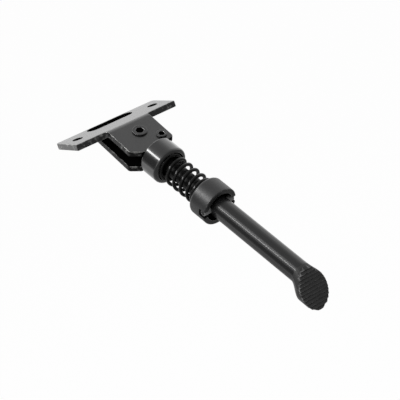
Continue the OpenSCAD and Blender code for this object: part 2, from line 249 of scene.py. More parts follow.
def combined(parts, operation):  # closed meshes joined or cut by a boolean, as one bmesh
    made = []
    for bm in parts:
        mesh = bpy.data.meshes.new("part")
        bm.to_mesh(mesh)
        bm.free()
        made.append(bpy.data.objects.new("part", mesh))
        bpy.context.scene.collection.objects.link(made[-1])
    for other in made[1:]:
        join = made[0].modifiers.new("join", "BOOLEAN")
        join.operation, join.solver, join.object = operation, "EXACT", other
    graph = bpy.context.evaluated_depsgraph_get()
    mesh = bpy.data.meshes.new_from_object(made[0].evaluated_get(graph))
    bm = bmesh.new()
    bm.from_mesh(mesh)
    bpy.data.meshes.remove(mesh)
    for obj in made:
        data = obj.data
        bpy.data.objects.remove(obj)
        bpy.data.meshes.remove(data)
    return bm


def groupNode(tree, group, **values):
    node = tree.nodes.new("ShaderNodeGroup")
    node.node_tree = group
    for key, value in values.items():
        node.inputs[key].default_value = value
    return node


def newGroup(name, inputs, outputs):  # inputs come with their defaults
    group = bpy.data.node_groups.new(name, "ShaderNodeTree")
    for label, value in inputs.items():
        group.interface.new_socket(label, in_out="INPUT", socket_type="NodeSocketFloat").default_value = value
    for label in outputs:
        group.interface.new_socket(label, in_out="OUTPUT", socket_type="NodeSocketFloat")
    return group, group.nodes.new("NodeGroupInput"), group.nodes.new("NodeGroupOutput")


def feed(tree, socket, value):  # a number is set on the socket, an output is linked to it
    if isinstance(value, (int, float)):
        socket.default_value = value
    else:
        tree.links.new(value, socket)


def mathNode(tree, operation, a, b):
    node = tree.nodes.new("ShaderNodeMath")
    node.operation = operation
    feed(tree, node.inputs[0], a)
    feed(tree, node.inputs[1], b)
    return node.outputs[0]


def noiseNode(tree, place, scale, detail=3, rough=0.5):
    node = tree.nodes.new("ShaderNodeTexNoise")
    for label, value in (("Vector", place), ("Scale", scale), ("Detail", detail), ("Roughness", rough)):
        feed(tree, node.inputs[label], value)
    return node.outputs["Fac"]


def stepNode(tree, value, low, high):
    node = tree.nodes.new("ShaderNodeMapRange")
    node.interpolation_type = "SMOOTHSTEP"
    for label, number in (("Value", value), ("From Min", low), ("From Max", high)):
        feed(tree, node.inputs[label], number)
    return node.outputs["Result"]


# sizes of the noise in features per metre, and the shares in which they are mixed
grain = {"fine": 3200, "broad": 420, "cloud": 55, "speck": 2300, "fineShare": 0.6, "broadShare": 0.5,
         "speckFrom": 0.82, "speckTo": 0.86, "speckSpread": 0.2}
wearPattern = {"patches": 260.0, "lift": 0.45, "soft": 0.25}


def makeCoatGrain():  # fine orange peel and specks of an electrophoretic coat
    group, given, out = newGroup("coatGrain", {"Scale": 1.0, "Specks": 0.5}, ("Height", "Tone", "Speck"))
    place = group.nodes.new("ShaderNodeTexCoord").outputs["Object"]
    scaled = lambda size: mathNode(group, "MULTIPLY", given.outputs["Scale"], size)
    fine = noiseNode(group, place, scaled(grain["fine"]), 2, 0.6)
    broad = noiseNode(group, place, scaled(grain["broad"]), 3)
    cloud = noiseNode(group, place, grain["cloud"], 3)
    height = mathNode(group, "ADD", mathNode(group, "MULTIPLY", fine, grain["fineShare"]),
                      mathNode(group, "MULTIPLY", broad, grain["broadShare"]))
    speckField = noiseNode(group, place, scaled(grain["speck"]), 1, 0.4)
    edge = mathNode(group, "SUBTRACT", grain["speckFrom"],
                    mathNode(group, "MULTIPLY", given.outputs["Specks"], grain["speckSpread"]))
    speck = stepNode(group, speckField, edge, grain["speckTo"])
    for label, value in (("Height", height), ("Tone", cloud), ("Speck", speck)):
        group.links.new(value, out.inputs[label])
    return group


def makeEdgeWear():  # bright worn edges, broken up by noise
    group, given, out = newGroup("edgeWear", {"Amount": 0.5}, ("Mask",))
    edge = group.nodes.new("ShaderNodeAttribute")
    edge.attribute_name = "edge"
    place = group.nodes.new("ShaderNodeTexCoord").outputs["Object"]
    patch = noiseNode(group, place, wearPattern["patches"], 4, 0.65)
    level = mathNode(group, "SUBTRACT", 1.0, given.outputs["Amount"])
    lively = mathNode(group, "MULTIPLY", edge.outputs["Fac"], mathNode(group, "ADD", patch, wearPattern["lift"]))
    mask = stepNode(group, lively, level, mathNode(group, "ADD", level, wearPattern["soft"]))
    group.links.new(mask, out.inputs["Mask"])
    return group


coatGrain = makeCoatGrain()
edgeWear = makeEdgeWear()


def mixColours(tree, a, b, share):
    mix = tree.nodes.new("ShaderNodeMix")
    mix.data_type = "RGBA"
    for label, colour in (("A", a), ("B", b)):
        if isinstance(colour, tuple):
            mix.inputs[label].default_value = (*colour, 1)
        else:
            tree.links.new(colour, mix.inputs[label])
    tree.links.new(share, mix.inputs["Factor"])
    return mix.outputs["Result"]


def coatMaterial(name, look):
    material = bpy.data.materials.new(name)
    material.use_nodes = True
    tree = material.node_tree
    shader = tree.nodes["Principled BSDF"]
    grained = groupNode(tree, coatGrain, Scale=look["grainScale"], Specks=look["specks"]).outputs
    wear = groupNode(tree, edgeWear, Amount=look["wear"]).outputs["Mask"]
    specks = mathNode(tree, "MULTIPLY", grained["Speck"], look["speckTone"])
    tone = mixColours(tree, look["dark"], look["light"], grained["Tone"])
    worn = mixColours(tree, tone, look["bare"], mathNode(tree, "MAXIMUM", wear, specks))
    cloud = mathNode(tree, "MULTIPLY", mathNode(tree, "SUBTRACT", grained["Tone"], 0.5), look["roughSpread"])
    bump = tree.nodes.new("ShaderNodeBump")
    bump.inputs["Strength"].default_value = look["bump"]
    bump.inputs["Distance"].default_value = look["bumpHeight"]
    tree.links.new(grained["Height"], bump.inputs["Height"])
    for label, value in (("IOR", look["ior"]), ("Coat Weight", look["coat"]), ("Coat Roughness", look["coatRough"]),
                         ("Base Color", worn), ("Roughness", mathNode(tree, "ADD", look["rough"], cloud)),
                         ("Metallic", mathNode(tree, "MULTIPLY", wear, look["bareMetal"])),
                         ("Normal", bump.outputs["Normal"])):
        feed(tree, shader.inputs[label], value)
    return material


def grey(tone):
    return (tone, tone, tone)


baseLook = {"dark": (0.007, 0.007, 0.0075), "light": (0.014, 0.014, 0.0145), "bare": grey(0.22), "ior": 1.5,
            "rough": 0.36, "roughSpread": 0.05, "grainScale": 1.0, "specks": 0.5, "speckTone": 0.2, "wear": 0.4,
            "bareMetal": 0.3, "bump": 0.3, "bumpHeight": 0.00006, "coat": 0.0, "coatRough": 0.2}
looks = {  # what each finish changes in baseLook
    "bracketCoat": {"coat": 0.8, "coatRough": 0.24, "bare": (0.38, 0.38, 0.37), "wear": 0.2},
    "legCoat": {"rough": 0.26, "wear": 0.16, "bump": 0.05, "coat": 0.25, "coatRough": 0.18},
    "soleCoat": {"dark": grey(0.018), "light": grey(0.032), "rough": 0.5, "wear": 0.22, "grainScale": 0.6,
                 "speckTone": 0.3},
    "collarCoat": {"rough": 0.2, "coat": 1.0, "coatRough": 0.1, "bump": 0.1, "specks": 0.2},
    "seatCoat": {"rough": 0.4, "ior": 1.62, "light": (0.022, 0.022, 0.0225), "bump": 0.8, "roughSpread": 0.2,
                 "speckTone": 0.3},
    "springCoat": {"dark": grey(0.004), "light": grey(0.006), "ior": 1.36, "rough": 0.16, "bump": 0.2},
    "boltCoat": {"rough": 0.28, "wear": 0.35, "coat": 0.6, "coatRough": 0.2},
    # paintedShadeSteel: dark steel painted as shade on the spindle and rod between the cheeks and inside the collar
    # and seat recess, in the seat's notch, under the bolt heads' rims and on the weld bead in the slot
    "paintedShadeSteel": {"dark": grey(0.002), "light": grey(0.005), "ior": 1.25, "rough": 0.4, "wear": 0.1,
                     "speckTone": 0.1},
    "pinSteel": {"dark": grey(0.012), "light": grey(0.022), "rough": 0.3, "ior": 1.28},
    # shadedCutSideCoat: the coat darkened and duller as painted shade on the cheeks' cut sides, which keep their real
    # edge wear
    "shadedCutSideCoat": {"dark": grey(0.003), "light": grey(0.008), "ior": 1.3, "bare": (0.38, 0.38, 0.37), "wear": 0.2},
    "plainSteel": {"dark": (0.42, 0.42, 0.41), "light": (0.55, 0.55, 0.54), "bareMetal": 1.0, "wear": 1.0},
    # paintedShadeBlack: nearly black, painted as shade inside the cheeks, holes, slot, bolt sockets, collar pocket
    # and seat recess
    "paintedShadeBlack": {"dark": grey(0.0008), "light": grey(0.002), "ior": 1.1, "rough": 0.7, "wear": 0.1,
                    "speckTone": 0.03},
}
coats = {name: coatMaterial(name, {**baseLook, **look}) for name, look in looks.items()}
print("finishes made")


def lowerEdge():  # corners of a cheek's lower edge, from its left side to its right side
    low = lambda x: -bracket["camHeight"] / math.cos(legTurn) + x * math.tan(legTurn)
    bevelX = cheekLeft + bracket["bevelWidth"]
    return [(cheekLeft, low(bevelX) + bracket["bevelHeight"], bracket["bevelRounds"][0]),
            (bevelX, low(bevelX), bracket["bevelRounds"][1]),
            (cheekRight, low(cheekRight), bracket["cheekCorner"])]


def foldPoint(p):
    if p.y >= nearEdge:
        return p.copy()
    radius = bracket["foldRadius"]
    along = nearEdge - p.y
    turn = min(along / radius, foldTurn)
    rest = max(along - radius * foldTurn, 0)
    reach = radius + p.z
    return Vector((p.x, nearEdge - reach * math.sin(turn) - rest * math.cos(foldTurn),
                   -radius + reach * math.cos(turn) - rest * math.sin(foldTurn)))


def slotLoop():
    slotY = farEdge - bracket["slotRim"] - bracket["slotWidth"] / 2
    run, r = (bracket["slotLength"] - bracket["slotWidth"]) / 2, bracket["slotWidth"] / 2
    return [Vector((side * run + r * math.cos(w), slotY + r * math.sin(w))) for side in (1, -1)
            for w in (-side * math.pi / 2 + math.pi * k / 24 for k in range(25))]


def cheekHoles(x, y):  # for both bolts, with the pivot at (x, y)
    stop = bracket["stopPlace"]
    return [circleLoop(x, y, bracket["pivotHole"]), circleLoop(x + stop[0], y + stop[1], bracket["stopHole"], 48)]


def bracketSheet(outline, holes):
    return sheetMesh(outline, holes, bracket["sheet"], bracket["edgeRound"], bracket["edgeSteps"],
                     bracket["holeRound"])


def makeBracket():
    end, half, f = bracket["plateLength"] / 2, bracket["cheekWidth"] / 2, bracket["neckFillet"]
    # where the pivot lies while the sheet is still flat
    flatY = nearEdge - bracket["foldRadius"] * foldTurn - (bracket["pivotDrop"] - foldTangent)
    side = [(x + bracket["pivotOffset"], z + flatY, r) for x, z, r in lowerEdge()]
    farCorner, nearCorner = bracket["plateCorner"], bracket["endCorner"]
    outline = roundLoop([(-end, farEdge, farCorner), (-end, nearEdge, nearCorner), (-half, nearEdge, f), *side,
                         (half, nearEdge, f), (end, nearEdge, nearCorner), (end, farEdge, farCorner)])
    holes = [slotLoop()] + [circleLoop(s * bracket["holeSpacing"] / 2, 0, bracket["holeRadius"]) for s in (-1, 1)]
    bm = bracketSheet(outline, holes + cheekHoles(bracket["pivotOffset"], flatY))
    for k in range(bracket["foldSteps"] + 1):  # rows of edges for the fold
        y = nearEdge - bracket["foldRadius"] * foldTurn * k / bracket["foldSteps"]
        bmesh.ops.bisect_plane(bm, geom=bm.verts[:] + bm.edges[:] + bm.faces[:],
                               plane_co=(0, y, 0), plane_no=(0, 1, 0), dist=1e-5)
    for v in bm.verts:
        v.co = foldPoint(v.co)
    return bm


def inPlate(p):  # within the plate's rim, where only the holes and the slot have sides
    return (nearEdge + bracket["rimNear"] < p.y < farEdge - bracket["rimFar"]
            and abs(p.x) < bracket["plateLength"] / 2 - bracket["rimNear"])


def isInner(p, n):  # the cheek's inner face and the sides of holes in the plate
    return (p.y < nearEdge and n.z < -bracket["innerTilt"]
            or abs(n.z) < bracket["holeTilt"] and inPlate(p))


def isCutSide(p, n):  # on the cheek, below the fold
    return p.y < nearEdge - bracket["sidesBelow"] and abs(n.z) < bracket["sideTilt"]


# the cheek's inner face and the sides of the plate's holes and slot are painted in shade, and the cheek's cut sides
# get the shaded cut-side coat
piece("mountingBracket", makeBracket(), plateFrame, "bracket", coats["bracketCoat"],
      ["mounting_bracket"], zones=[(coats["paintedShadeBlack"], isInner), (coats["shadedCutSideCoat"], isCutSide)])


def makeBackCheek():
    top = bracket["backHeight"]
    bm = bracketSheet(roundLoop([(cheekRight, top, 0), (cheekLeft, top, 0), *lowerEdge()]), cheekHoles(0, 0))
    standUp(bm, bracket["outerWidth"])  # the sheet's top becomes the cheek's outer face at the back
    bm.transform(Matrix.Scale(1000, 4) @ cheekFrame)
    bmesh.ops.bisect_plane(bm, geom=bm.verts[:] + bm.edges[:] + bm.faces[:], plane_co=(0, 0, -bracket["tabRecess"]),
                           plane_no=(0, 0, 1), clear_outer=True)
    fillFlat(bm, [e for e in bm.edges if e.is_boundary])
    bmesh.ops.recalc_face_normals(bm, faces=bm.faces)
    left, near, right, far = bracket["tabCutter"]
    around = [Vector(p) for p in ((left, near), (right, near), (right, far), (left, far))]
    cutter = sheetMesh(around, [slotLoop()], bracket["sheet"], bracket["cutterRound"], 1)
    return combined([bm, cutter], "DIFFERENCE")  # leaves the tab in the slot


# the back cheek's inner face is painted in shade, and its cut sides get the shaded cut-side coat
piece("backCheek", makeBackCheek(), plateFrame, "bracket", coats["bracketCoat"], ["back_cheek"],
      zones=[(coats["paintedShadeBlack"], lambda p, n: n.z > bracket["innerTilt"]),
             (coats["shadedCutSideCoat"], lambda p, n: abs(n.z) < bracket["sideTilt"])])
print("bracket made")


def hexRadius(w, acrossFlats):
    return acrossFlats / 2 / math.cos((w + math.pi / 6) % (math.pi / 3) - math.pi / 6)


hardware = {
    "pivot": {"place": (0, 0), "d": 8, "headD": 11.4, "headH": 1.3, "socket": 5.8, "pitch": 1.25,
              "nut": 13, "nutH": 4.5, "washerWide": 2},
    "stop": {"place": bracket["stopPlace"], "d": 6, "headD": 8.2, "headH": 1.4, "socket": 4.3, "pitch": 1.0,
             "nut": 10, "nutH": 3.6, "washerWide": 1.8},
    "washer": 1.2, "washerRound": 0.18, "tip": 1.2, "play": 0.07, "steps": 96, "headRound": 0.4,
    # the socket's rim from inside to the head's top: (distance from its sides, depth)
    "socketDepth": 3.0, "cornerReach": 0.6, "socketRim": ((0.02, 0.26), (0.12, 0.1), (0.25, 0.02), (0.36, 0)),
    "thread": {"depth": 0.3, "above": 2.5, "runOut": 1.2, "lead": 0.9, "tipShare": 0.15, "step": 0.14},
    # the nut's faces: (the radius that cuts its corners as a share of half its width, height)
    "nutFace": ((0.955, 0), (0.985, 0.06)), "nutChamfer": 0.5,
}


def turnAngles(steps):
    return [2 * math.pi * k / steps for k in range(steps)]


def turnedRing(radius, z):  # radius is a function of the angle
    return [(radius(w) * math.cos(w), radius(w) * math.sin(w), z) for w in turnAngles(hardware["steps"])]


def boltMesh(size, length):  # head up, shank down from z = 0, threaded at its lower end
    head, h, edge = size["headD"] / 2, size["headH"], size["headH"] * hardware["headRound"]
    socket, floor, shank = size["socket"], size["headH"] - hardware["socketDepth"], size["d"] / 2
    reach, thread = socket * hardware["cornerReach"], hardware["thread"]
    threadTop = -length + size["nutH"] + hardware["washer"] + thread["above"]

    def threadRadius(w, z):  # the thread runs out towards the shank and the tip
        fade = min(1, (threadTop - z) / thread["runOut"], (z + length) / thread["lead"] + thread["tipShare"])
        cut = abs(((z / size["pitch"] + w / (2 * math.pi)) % 1) - 0.5) * 2
        return shank - thread["depth"] * (1 + fade * (cut - 1) if fade > 0.5 else fade * cut)

    circle = lambda r, z: turnedRing(lambda w: r, z)
    rings = [circle(0.05, floor - 0.5), circle(socket * 0.3, floor - 0.35)]
    rings += [turnedRing(lambda w: hexRadius(w, socket) * 0.985, z) for z in (floor, floor + 0.05, h - 0.3)]
    rings += [turnedRing(lambda w: min(hexRadius(w, socket), reach) + out, h - z)
              for out, z in hardware["socketRim"]]
    rings += [circle(head - edge - 0.02, h)]
    rings += [circle(head - edge + edge * math.sin(w), h - edge + edge * math.cos(w))
              for w in (math.pi / 2 * k / 6 for k in range(1, 7))]
    rings += [circle(head, 0.12), circle(head - 0.12, 0), circle(shank + 0.02, 0), circle(shank, -0.2),
              circle(shank, threadTop + 0.6)]
    z = threadTop
    while z > -length:
        rings.append(turnedRing(lambda w: threadRadius(w, z), z))
        z -= thread["step"]
    return shapeMesh(rings + [circle(shank - 0.8, -length)])


def nutMesh(size):  # from z = 0 to its height, both faces chamfered, bore along z
    h, half, bore, cut = size["nutH"], size["nut"] / 2, size["d"] / 2 + hardware["play"], hardware["nutChamfer"]
    corner = half / math.cos(math.pi / 6)
    limits = [(half * share, z) for share, z in hardware["nutFace"]]
    limits += [(half + (corner + 0.1 - half) * k / 6, 0.08 + 0.75 * k / 6 * (corner - half)) for k in range(7)]
    rings = [turnedRing(lambda w: min(hexRadius(w, size["nut"]), limit), z)
             for limit, z in limits + [(limit, h - z) for limit, z in reversed(limits)]]
    rings += [turnedRing(lambda w: r, z) for r, z in ((bore + cut, h), (bore, h - cut), (bore, cut), (bore + cut, 0))]
    bm = bmesh.new()
    joinRings(bm, [[bm.verts.new(p) for p in ring] for ring in rings], closed=True)
    return bm


def washerMesh(outer, bore, t):
    e = hardware["washerRound"]
    under = [(outer - e, 0), (outer - e * 0.3, e * 0.3), (outer, e)]
    return turnMesh([(bore, e), (bore + e, 0), *under, *((r, t - z) for r, z in reversed(under)),
                     (bore + e, t), (bore, t - e)], hardware["steps"])


def inSocket(size):
    reach = size["socket"] * hardware["cornerReach"]
    return lambda p, n: -size["d"] / 2 < p.z < size["headH"] - 0.25 and p.xy.length < reach


# a dark shadow line is painted here, where the head meets the cheek
def underRim(size):  # the lower part of the head's side
    return lambda p, n: p.xy.length > size["headD"] / 2 - 0.3 and p.z < size["headH"] * 0.6


def placeHardware():
    out = Matrix.Rotation(math.pi / 2, 4, "X")  # local z points out of the front
    back = Matrix.Rotation(-math.pi / 2, 4, "X")  # local z points out of the back
    for key in ("pivot", "stop"):
        size = hardware[key]
        x, z = size["place"]
        at = lambda y: cheekFrame @ Matrix.Translation((x, y, z))
        length = bracket["outerWidth"] + hardware["washer"] + size["nutH"] + hardware["tip"]
        washer = washerMesh(size["d"] * size["washerWide"] / 2, size["d"] / 2 + hardware["play"], hardware["washer"])
        # painted shade inside the socket and a painted shadow line under the head's rim
        zones = [(coats["paintedShadeBlack"], inSocket(size)), (coats["paintedShadeSteel"], underRim(size))]
        for kind, bm, place, darker in (
                ("Bolt", boltMesh(size, length), at(0) @ out, zones),
                ("Washer", washer, at(bracket["outerWidth"]) @ back, ()),
                ("Nut", nutMesh(size), at(bracket["outerWidth"] + hardware["washer"]) @ back, ())):
            piece(key + kind, bm, place, "bracket", coats["boltCoat"], [f"{key}_{kind.lower()}"],
                  zones=darker)


placeHardware()
print("hardware made")


leg = {
    "rod": 8.1, "spindle": 6.3, "eye": 10, "length": 186.3, "blade": 16.4, "bladeHalf": 7.335, "bladeT": 9.0,
    "sleeve": 5.57, "eyeFrom": -42.8, "eyeTurn": 265.6, "eyeRound": 0.5, "neck": 2.2,
    # paintedShadeEnd: from the pivot down to here the leg is painted in shade
    "flatsEnd": 26, "paintedShadeEnd": 89.6, "shoulder": 79.9, "taper": 1.6,
    "flareStart": 170.7, "flareLength": 10.9, "swellPower": 1.28, "wallRings": 26,
    "footHalf": (11.85, 12.75), "footShift": (1.5, 6.9), "soleLength": 30.76,
    # the ridges' lines end up to the steepest angle, and the ends close the sole above and below them
    "ridges": 12, "ridgeDepth": 1.2, "ridgeFade": 0.7, "steepest": 76, "ends": (79, 82, 85, 88),
    "rimRound": 0.85, "rimShares": (0.35, 0.7, 1.0), "soleColumns": 6, "soleFrom": 2, "soleTilt": 0.2,
    # one ridge from valley to valley, as (share of its pitch, share of its depth)
    "ridge": ((0, 1), (0.07, 0.92), (0.36, 0.5), (0.6, 0.16), (0.67, 0.06), (0.72, 0.03), (0.76, 0.1), (0.81, 0.3),
              (0.95, 0.88)),
}
ridgePitch = leg["soleLength"] / leg["ridges"]
toSole = Matrix.Rotation(foldTurn, 3, "X") @ Matrix.Rotation(-legTurn, 3, "Y")
soleCentre = Vector((*leg["footShift"], -leg["length"]))


def lastWhere(test, low, high, halvings):  # the last place between low and high where the test still holds
    for _ in range(halvings):
        middle = (low + high) / 2
        low, high = (middle, high) if test(middle) else (low, middle)
    return low


def footWall(s, w, inset=0.0):  # point of the leg's skin at a distance s from the pivot and an angle w
    t = min(max((s - leg["flareStart"]) / leg["flareLength"], 0), 1)
    swell = (t * t * (3 - 2 * t)) ** leg["swellPower"]
    a, b = (leg["rod"] + (half - leg["rod"]) * swell - inset for half in leg["footHalf"])
    return Vector((leg["footShift"][0] * swell + a * math.cos(w), leg["footShift"][1] * swell + b * math.sin(w), -s))


def ridgeHeight(x, y):  # the ridges are worn low towards the right rim
    at = ((y + leg["soleLength"] / 2) / ridgePitch) % 1
    shape = leg["ridge"] + ((1, 1),)
    t = min(max(x / leg["footHalf"][0], 0), 1)
    depth = leg["ridgeDepth"] * (1 - leg["ridgeFade"] * t * t * (3 - 2 * t))
    for (u0, d0), (u1, d1) in zip(shape, shape[1:]):
        if at <= u1:
            return depth * (d0 + (d1 - d0) * (at - u0) / (u1 - u0))
    return depth


def soleHit(w, inset, lift):  # where the wall at angle w meets the ridged sole
    def aboveSole(s):
        p = toSole @ (footWall(s, w, inset) - soleCentre)
        return p.z > ridgeHeight(p.x, p.y) + lift

    return lastWhere(aboveSole, leg["flareStart"] - 4, leg["length"] + 24, 36)


def soleAngles(inset):  # angles up the right and the left of the foot at which the ridges' lines end
    places = [(k + u) * ridgePitch - leg["soleLength"] / 2
              for k in range(-1, leg["ridges"] + 1) for u, _ in leg["ridge"]]
    steepest = math.radians(leg["steepest"])
    sides = []
    for turned in (lambda w: w, lambda w: math.pi - w):
        along = lambda w: (toSole @ (footWall(soleHit(turned(w), inset, 0), turned(w), inset) - soleCentre)).y
        lowest, highest = along(-steepest), along(steepest)
        sides.append({k: lastWhere(lambda w: along(w) < y, -steepest, steepest, 22)
                      for k, y in enumerate(places) if lowest < y < highest})
    ends = [math.radians(d) for d in leg["ends"]]
    shared = [k for k in sides[0] if k in sides[1]]
    return [[-w for w in reversed(ends)] + [found[k] for k in shared] + ends for found in sides]


def makeEye():
    blade, spindle, half = leg["blade"], leg["spindle"], leg["bladeHalf"]
    outline = [Vector((leg["eye"] * math.cos(w), leg["eye"] * math.sin(w)))
               for w in (math.radians(leg["eyeFrom"] + leg["eyeTurn"] * k / 60) for k in range(61))]
    outline += [Vector(p) for p in ((-half, -blade), (-spindle, -blade - leg["neck"]),
                                    (spindle, -blade - leg["neck"]), (half, -blade))]
    eye = sheetMesh(outline, [circleLoop(0, 0, leg["sleeve"])], leg["bladeT"], leg["eyeRound"])
    standUp(eye, leg["bladeT"] / 2)
    return eye


def makeLeg():
    rim = leg["rimRound"]
    right, left = soleAngles(rim)
    turns = right + [math.pi - w for w in reversed(left)]
    spindle, rod, blade, flats, start = (leg[k] for k in ("spindle", "rod", "blade", "flatsEnd", "flareStart"))
    shoulder, cone = leg["shoulder"], leg["shoulder"] + leg["taper"]
    flat, free = leg["bladeT"] / 2, 9
    # (radius, distance from the pivot, half the width across the flats)
    stem = [(spindle - 0.6, blade + 1, flat), (spindle - 0.15, blade + 1.15, flat), (spindle, blade + 1.6, flat),
            (spindle, flats, flat), (spindle, flats + 0.5, flat + 1.2), (spindle, flats + 0.8, free),
            (spindle, shoulder - 0.1, free), (spindle + 0.1, shoulder, free), (rod - 0.1, cone - 0.1, free),
            (rod, cone + 0.1, free), (rod, cone + 0.8, free), (rod, cone + 2, free),
            (rod, leg["paintedShadeEnd"], free), (rod, start - 4, free)]
    rings = [[(r * math.cos(w), max(min(r * math.sin(w), half), -half), -s) for w in turns] for r, s, half in stem]
    ends = [soleHit(w, 0, rim) for w in turns]
    rings += [[footWall(start + (end - start) * k / leg["wallRings"], w) for w, end in zip(turns, ends)]
              for k in range(leg["wallRings"] + 1)]
    for share in leg["rimShares"]:
        inset, lift = rim * (1 - math.cos(share * math.pi / 2)), rim * (1 - math.sin(share * math.pi / 2))
        rings.append([footWall(soleHit(w, inset, lift), w, inset) for w in turns])
    bm = bmesh.new()
    made = [[bm.verts.new(p) for p in ring] for ring in rings]
    joinRings(bm, made)
    bm.faces.new(made[0])
    edge, columns = made[-1], leg["soleColumns"]
    rows = []  # across the sole, from its right rim to its left
    for k in range(len(right)):
        first, last = edge[k], edge[len(edge) - 1 - k]
        inner = [bm.verts.new(first.co.lerp(last.co, c / columns)) for c in range(1, columns)]
        rows.append([first, *inner, last])
    for a, b in zip(rows, rows[1:]):
        for c in range(columns):
            bm.faces.new((a[c], a[c + 1], b[c + 1], b[c]))
    for line in (rows[0], rows[-1]):
        bm.faces.new(line)
    bmesh.ops.recalc_face_normals(bm, faces=bm.faces)
    return combined([bm, makeEye()], "UNION")


def isSole(p, n):
    return p.z < -leg["flareStart"] - leg["soleFrom"] and (toSole @ n).z < -leg["soleTilt"]


# the leg is painted in shade from the pivot down into the seat's recess; the sole has a coat of its own
piece("legForging", makeLeg(), legFrame, "leg", coats["legCoat"], ["leg"], sharp=55,
      zones=[(coats["paintedShadeSteel"], lambda p, n: p.z > -leg["paintedShadeEnd"]), (coats["soleCoat"], isSole)])
print("leg made")


collar = {
    "radius": 15, "start": 19.5, "end": 36.4, "bore": 6.37, "topRound": 1.3, "mouthRound": 2.6,
    "pocket": 11.9, "pocketFloor": 32.0,
}
seat = {
    "radius": 15.2, "start": 73, "end": 90.3, "bore": 6.37, "topRound": 2.8, "lowRound": 1.0,
    "recess": 11.5, "recessFloor": 79.3, "notchHalf": 2.8, "notchTop": 84.9,
    "notchReach": 20, "notchRound": 0.3, "notchMargin": 0.3,
}
coil = {"wire": 1.35, "radius": 9.95, "open": 4.55, "low": 71.6, "high": 33.4, "start": 210, "shortest": 0.624,
        "steps": 40, "around": 14}
turnedSteps = 160
# how far past a bore's side and inside the mouth the painted shade of a hollow reaches
hollow = {"side": 0.05, "mouth": 0.4, "top": 0.1}


def arcPoints(r, z, radius, start, end, steps=8):
    return [(r + radius * math.cos(w), z + radius * math.sin(w))
            for w in (math.radians(start + (end - start) * k / steps) for k in range(steps + 1))]


def collarProfile():
    c, e = collar, 0.35
    return (arcPoints(c["bore"] + e, -c["start"] - e, e, 180, 90, 3)
            + arcPoints(c["radius"] - c["topRound"], -c["start"] - c["topRound"], c["topRound"], 90, 0)
            + arcPoints(c["radius"] - c["mouthRound"], -c["end"] + c["mouthRound"], c["mouthRound"], 0, -80)
            + arcPoints(c["pocket"] + e, -c["end"] + e, e, -90, -180, 3)
            + [(c["pocket"], -c["pocketFloor"] - 0.3), (c["pocket"] - 0.3, -c["pocketFloor"])]
            + arcPoints(c["bore"] + e, -c["pocketFloor"] + e, e, 270, 180, 3))


def seatProfile():
    s, e = seat, 0.35
    return (arcPoints(s["bore"] + e, -s["start"] - e, e, 180, 90, 3)
            + arcPoints(s["radius"] - s["topRound"], -s["start"] - s["topRound"], s["topRound"], 90, 0)
            + [(s["radius"], -s["notchTop"] + 1), (s["radius"], -s["notchTop"] + 0.4)]
            + arcPoints(s["radius"] - s["lowRound"], -s["end"] + s["lowRound"], s["lowRound"], 0, -90, 5)
            + arcPoints(s["recess"] + e, -s["end"] + e, e, -90, -180, 3)
            + [(s["recess"], -s["recessFloor"] - 0.4), (s["recess"] - 0.4, -s["recessFloor"])]
            + arcPoints(s["bore"] + e, -s["recessFloor"] + e, e, 270, 180, 3))


# these faces are painted in shade
def insideOf(turned, bore):  # faces of a turned piece that look into its bore or its hollow end
    return lambda p, n: p.xy.length < turned[bore] + hollow["side"] and p.z > -turned["end"] + hollow["mouth"]


# the collar's pocket is painted in shade
piece("slidingCollar", turnMesh(collarProfile(), turnedSteps), legFrame, "collar",
      coats["collarCoat"], ["sliding_collar"], zones=[(coats["paintedShadeBlack"], insideOf(collar, "pocket"))])


def inNotch(p, n):
    margin = seat["notchMargin"]
    return (p.xy.length > seat["recess"] and abs(p.y) < seat["notchHalf"] + margin
            and p.z < -seat["notchTop"] + margin)


def makeSeat():
    reach, half = seat["notchReach"], seat["notchHalf"]
    around = [Vector(p) for p in ((-reach, -half), (reach, -half), (reach, half), (-reach, half))]
    notch = sheetMesh(around, [], reach, seat["notchRound"])
    notch.transform(Matrix.Translation((0, 0, -seat["notchTop"])))
    return combined([turnMesh(seatProfile(), turnedSteps), notch], "DIFFERENCE")


inRecess = insideOf(seat, "recess")
# the seat's recess and its notch are painted in shade
piece("springSeat", makeSeat(), legFrame, "leg", coats["seatCoat"], ["spring_seat"],
      zones=[(coats["paintedShadeBlack"], lambda p, n: inRecess(p, n) and p.z < -seat["start"] - hollow["top"]),
             (coats["paintedShadeSteel"], inNotch)])


def makeSpring():
    wire, steps = coil["wire"], coil["steps"]
    turns = coil["open"] + 2
    drop = coil["low"] - coil["high"]
    rise = (drop - 4 * wire) / coil["open"]
    section = [(coil["radius"] + wire * math.cos(w), wire * math.sin(w)) for w in turnAngles(coil["around"])]
    rings = []
    for k in range(int(steps * turns) + 1):
        u = min(k / steps, turns)
        if u < 1:  # both end turns are closed
            climb = 2 * wire * u
        elif u > turns - 1:
            climb = drop - 2 * wire * (turns - u)
        else:
            climb = 2 * wire + rise * (u - 1)
        a = math.radians(coil["start"]) - 2 * math.pi * u
        rings.append([(r * math.cos(a), r * math.sin(a), -coil["high"] - climb + z) for r, z in section])
    return shapeMesh(rings)


# no corner of the wire counts as worn
spring = piece("springCoil", makeSpring(), legFrame, "leg", coats["springCoat"], ["spring"], sharp=60,
               edgeFrom=60)
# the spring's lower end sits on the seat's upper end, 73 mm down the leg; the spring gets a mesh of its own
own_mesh(spring)

pin = {"radius": 2.5, "half": 14, "place": 87.5, "chamfer": 0.4}
pinFrame = legFrame @ Matrix.Translation((0, 0, -pin["place"])) @ Matrix.Rotation(math.pi / 2, 4, "Y")


def makePin():
    r, end, cut = pin["radius"], pin["half"], pin["chamfer"]
    return turnMesh([(0, end), (r - cut, end), (r, end - cut), (r, -end + cut), (r - cut, -end), (0, -end)], 48)


piece("crossPin", makePin(), pinFrame, "leg", coats["pinSteel"], ["cross_pin"])

